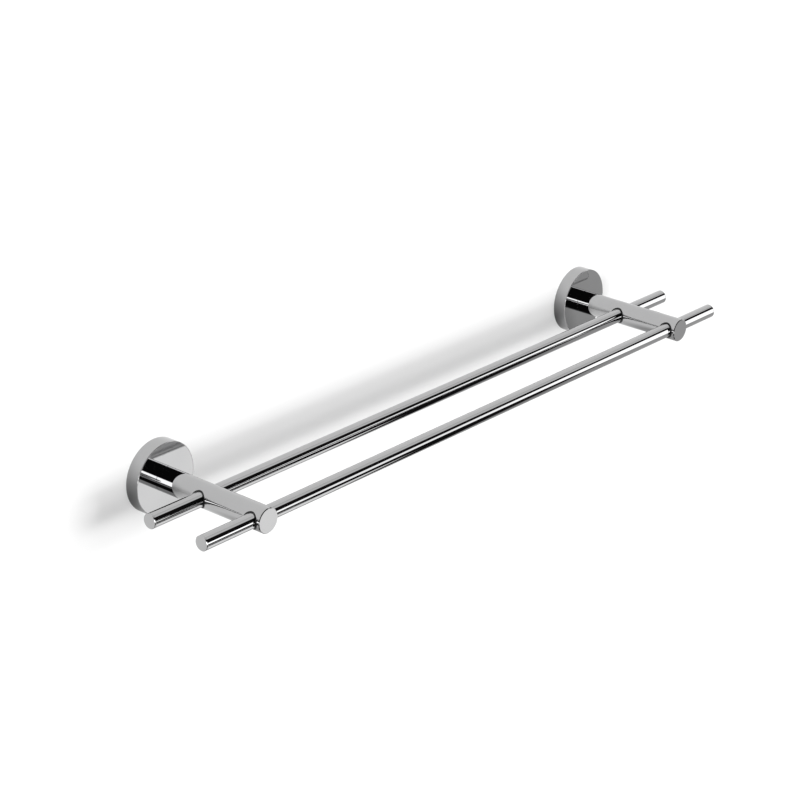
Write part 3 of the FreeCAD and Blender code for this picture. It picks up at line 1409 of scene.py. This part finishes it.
@dataclass(frozen=True)
class Studio:
    """The cards around the rack, with dark gaps between them, that only chrome reflects."""

    ceiling: Ceiling = Ceiling()
    strip: Strip = Strip()
    low_card: LowCard = LowCard()
    grey_card: GreyCard = GreyCard()
    cards: tuple[Card, ...] = (
        Card(Band(-48.0, 14.0, 14.0), Band(-0.30, 0.57, 0.08), 1.35),      # before the rack
        Card(Band(-28.0, -12.0, 6.0), Band(-0.70, -0.34, 0.08), 1.15),     # to the left of it
        Card(Band(-34.5, -31.3, 0.4), Band(0.60, 0.654, 0.004), 1.30),     # for the left rosette
        Card(Band(-36.5, -34.4, 0.4), Band(0.654, 0.675, 0.004), 1.30),    # for the left post's end
    )
    floor_edge: float = -68.0
    floor_softness: float = 8.0
    floor_tone: float = 0.5
    right_edge: float = 0.825
    right_softness: float = 0.03
    side_edge: float = 0.94
    side_softness: float = 0.02
    side_tone: float = 0.9
    gap_tone: float = 0.008
    back_tone: float = 0.12
    back_band: Band = Band(-0.55, 0.08, 0.15)
    back_band_tone: float = 0.95
    back_top: float = 0.45
    back_top_softness: float = 0.20
    back_top_tone: float = 0.9

    def before_wall(self, ray: Ray) -> Signal:
        """What stands before the wall: the cards, and grey screens at both sides.

        Args:
            ray: The mirror ray.

        Returns:
            The brightness.
        """
        lit = self.ceiling.light(ray) + self.strip.light(ray) + self.low_card.light(ray)
        lit = lit + self.grey_card.light(ray, self.strip.foot_at(ray))
        for card in self.cards:
            lit = lit + card.light(ray)
        floor = ray.climb.below(self.floor_edge, self.floor_softness) * (1.0 - ray.ahead)
        lit = lit + floor * self.floor_tone
        right, left = self.side_edge, -self.side_edge
        beside = ray.x.above(right, self.side_softness) + ray.x.below(left, self.side_softness)
        lit = lit * ray.x.below(self.right_edge, self.right_softness) * (1.0 - beside)
        return lit + beside * self.side_tone + self.gap_tone

    def behind_wall(self, ray: Ray) -> Signal:
        """What stands behind the wall, for the backs of the rosettes and brackets.

        Args:
            ray: The mirror ray.

        Returns:
            The brightness.
        """
        band = self.back_band.holds(ray.z) * self.back_band_tone
        top = ray.z.above(self.back_top, self.back_top_softness) * self.back_top_tone
        return self.back_tone + band + top

    def brightness(self, graph: Graph) -> Signal:
        """The brightness of the studio in the direction of a mirror ray.

        Args:
            graph: The world's graph.

        Returns:
            The brightness.
        """
        ray = Ray.of(graph)
        front = self.before_wall(ray)
        behind = ray.y.above(BEHIND_WALL_EDGE, BEHIND_WALL_SOFTNESS)
        return front + (self.behind_wall(ray) - front) * behind


@dataclass
class Lighting:
    """One large soft light in front, and the studio that chrome reflects."""

    sun_from: Vector = field(default_factory=lambda: Vector((0.19, -1.0, 0.12)))
    sun_size: float = 34.0
    sun_strength: float = 3.2
    fill: float = 0.27
    backdrop: float = 1.0
    studio: Studio = Studio()

    def sun(self) -> None:
        """The main light."""
        data = bpy.data.lights.new("soft_key", "SUN")
        data.angle = math.radians(self.sun_size)
        data.energy = self.sun_strength
        light = bpy.data.objects.new("soft_key", data)
        light.rotation_mode = "QUATERNION"
        light.rotation_quaternion = self.sun_from.normalized().to_track_quat("Z", "Y")
        light.visible_glossy = False
        bpy.context.scene.collection.objects.link(light)

    def world(self) -> None:
        """A white backdrop, soft fill, and the studio where chrome reflects it."""
        world = bpy.data.worlds.new("studio")
        world.use_nodes = True
        bpy.context.scene.world = world
        graph = Graph(world.node_tree)
        path = graph.node("ShaderNodeLightPath", {}, {}).outputs
        mirrored = Signal(graph, path["Is Glossy Ray"])
        seen = Signal(graph, path["Is Camera Ray"])
        light = self.fill + (self.studio.brightness(graph) - self.fill) * mirrored
        shown = light + (self.backdrop - light) * seen
        colour = graph.node("ShaderNodeCombineColor", {}, {0: shown, 1: shown, 2: shown}).outputs[0]
        background = graph.node("ShaderNodeBackground", {}, {"Color": colour, "Strength": 1.0})
        graph.node("ShaderNodeOutputWorld", {}, {"Surface": background.outputs[0]})

    def build(self) -> None:
        """Builds the light and the world."""
        self.sun()
        self.world()
        scene = bpy.context.scene
        scene.view_settings.view_transform = "Standard"
        scene.view_settings.look = "None"
        log.info("lighting: fill %.2f, sun %.2f", self.fill, self.sun_strength)


@dataclass
class Viewpoint:
    """The camera, to the left of the rack and above it, through a long lens."""

    azimuth: float = -50.70
    elevation: float = 22.79
    roll: float = 1.84
    lens: float = 107.1
    reach: float = 2.901
    offset: Vector = field(default_factory=lambda: Vector((-0.0896, -0.0113, 0.0259)))
    nearest: float = 0.05
    farthest: float = 60.0

    def build(self, low: Vector, high: Vector) -> None:
        """Places the camera.

        Args:
            low: The object's lowest corner.
            high: Its highest corner.
        """
        length = high.x - low.x
        target = (low + high) / 2 + self.offset * length
        a, e = math.radians(self.azimuth), math.radians(self.elevation)
        back = Vector((math.sin(a) * math.cos(e), -math.cos(a) * math.cos(e), math.sin(e)))
        right = Vector((0, 0, 1)).cross(back).normalized()
        up = back.cross(right)
        basis = Matrix((right, up, back)).transposed()
        turned = basis @ Matrix.Rotation(math.radians(self.roll), 3, "Z")
        data = bpy.data.cameras.new("camera")
        data.lens = self.lens
        data.clip_start, data.clip_end = self.nearest, self.farthest
        camera = bpy.data.objects.new("camera", data)
        camera.matrix_world = Matrix.Translation(target + back * length * self.reach) @ turned.to_4x4()
        bpy.context.scene.collection.objects.link(camera)
        bpy.context.scene.camera = camera
        log.info("camera: %.0f mm lens at %.2f m", self.lens, length * self.reach)


def main() -> None:
    """Builds the rack, the studio and the camera."""
    logging.basicConfig(level=logging.INFO, format="%(message)s")
    cad_low, cad_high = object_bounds()
    shop = Workshop()
    rails = tuple(Rail(depth) for depth in Depth)
    rosettes = tuple(Rosette(side) for side in Side)
    for rail in rails:
        rail.build(shop)
    for rosette in rosettes:
        rosette.build(shop)
    for side in Side:
        Post(side, rails).build(shop)
        WallBracket(side).build(shop)
        Fasteners(side).build(shop)
    Wall().build(rosettes)
    Lighting().build()
    Viewpoint().build(cad_low, cad_high)


if __name__ == "__main__":
    main()
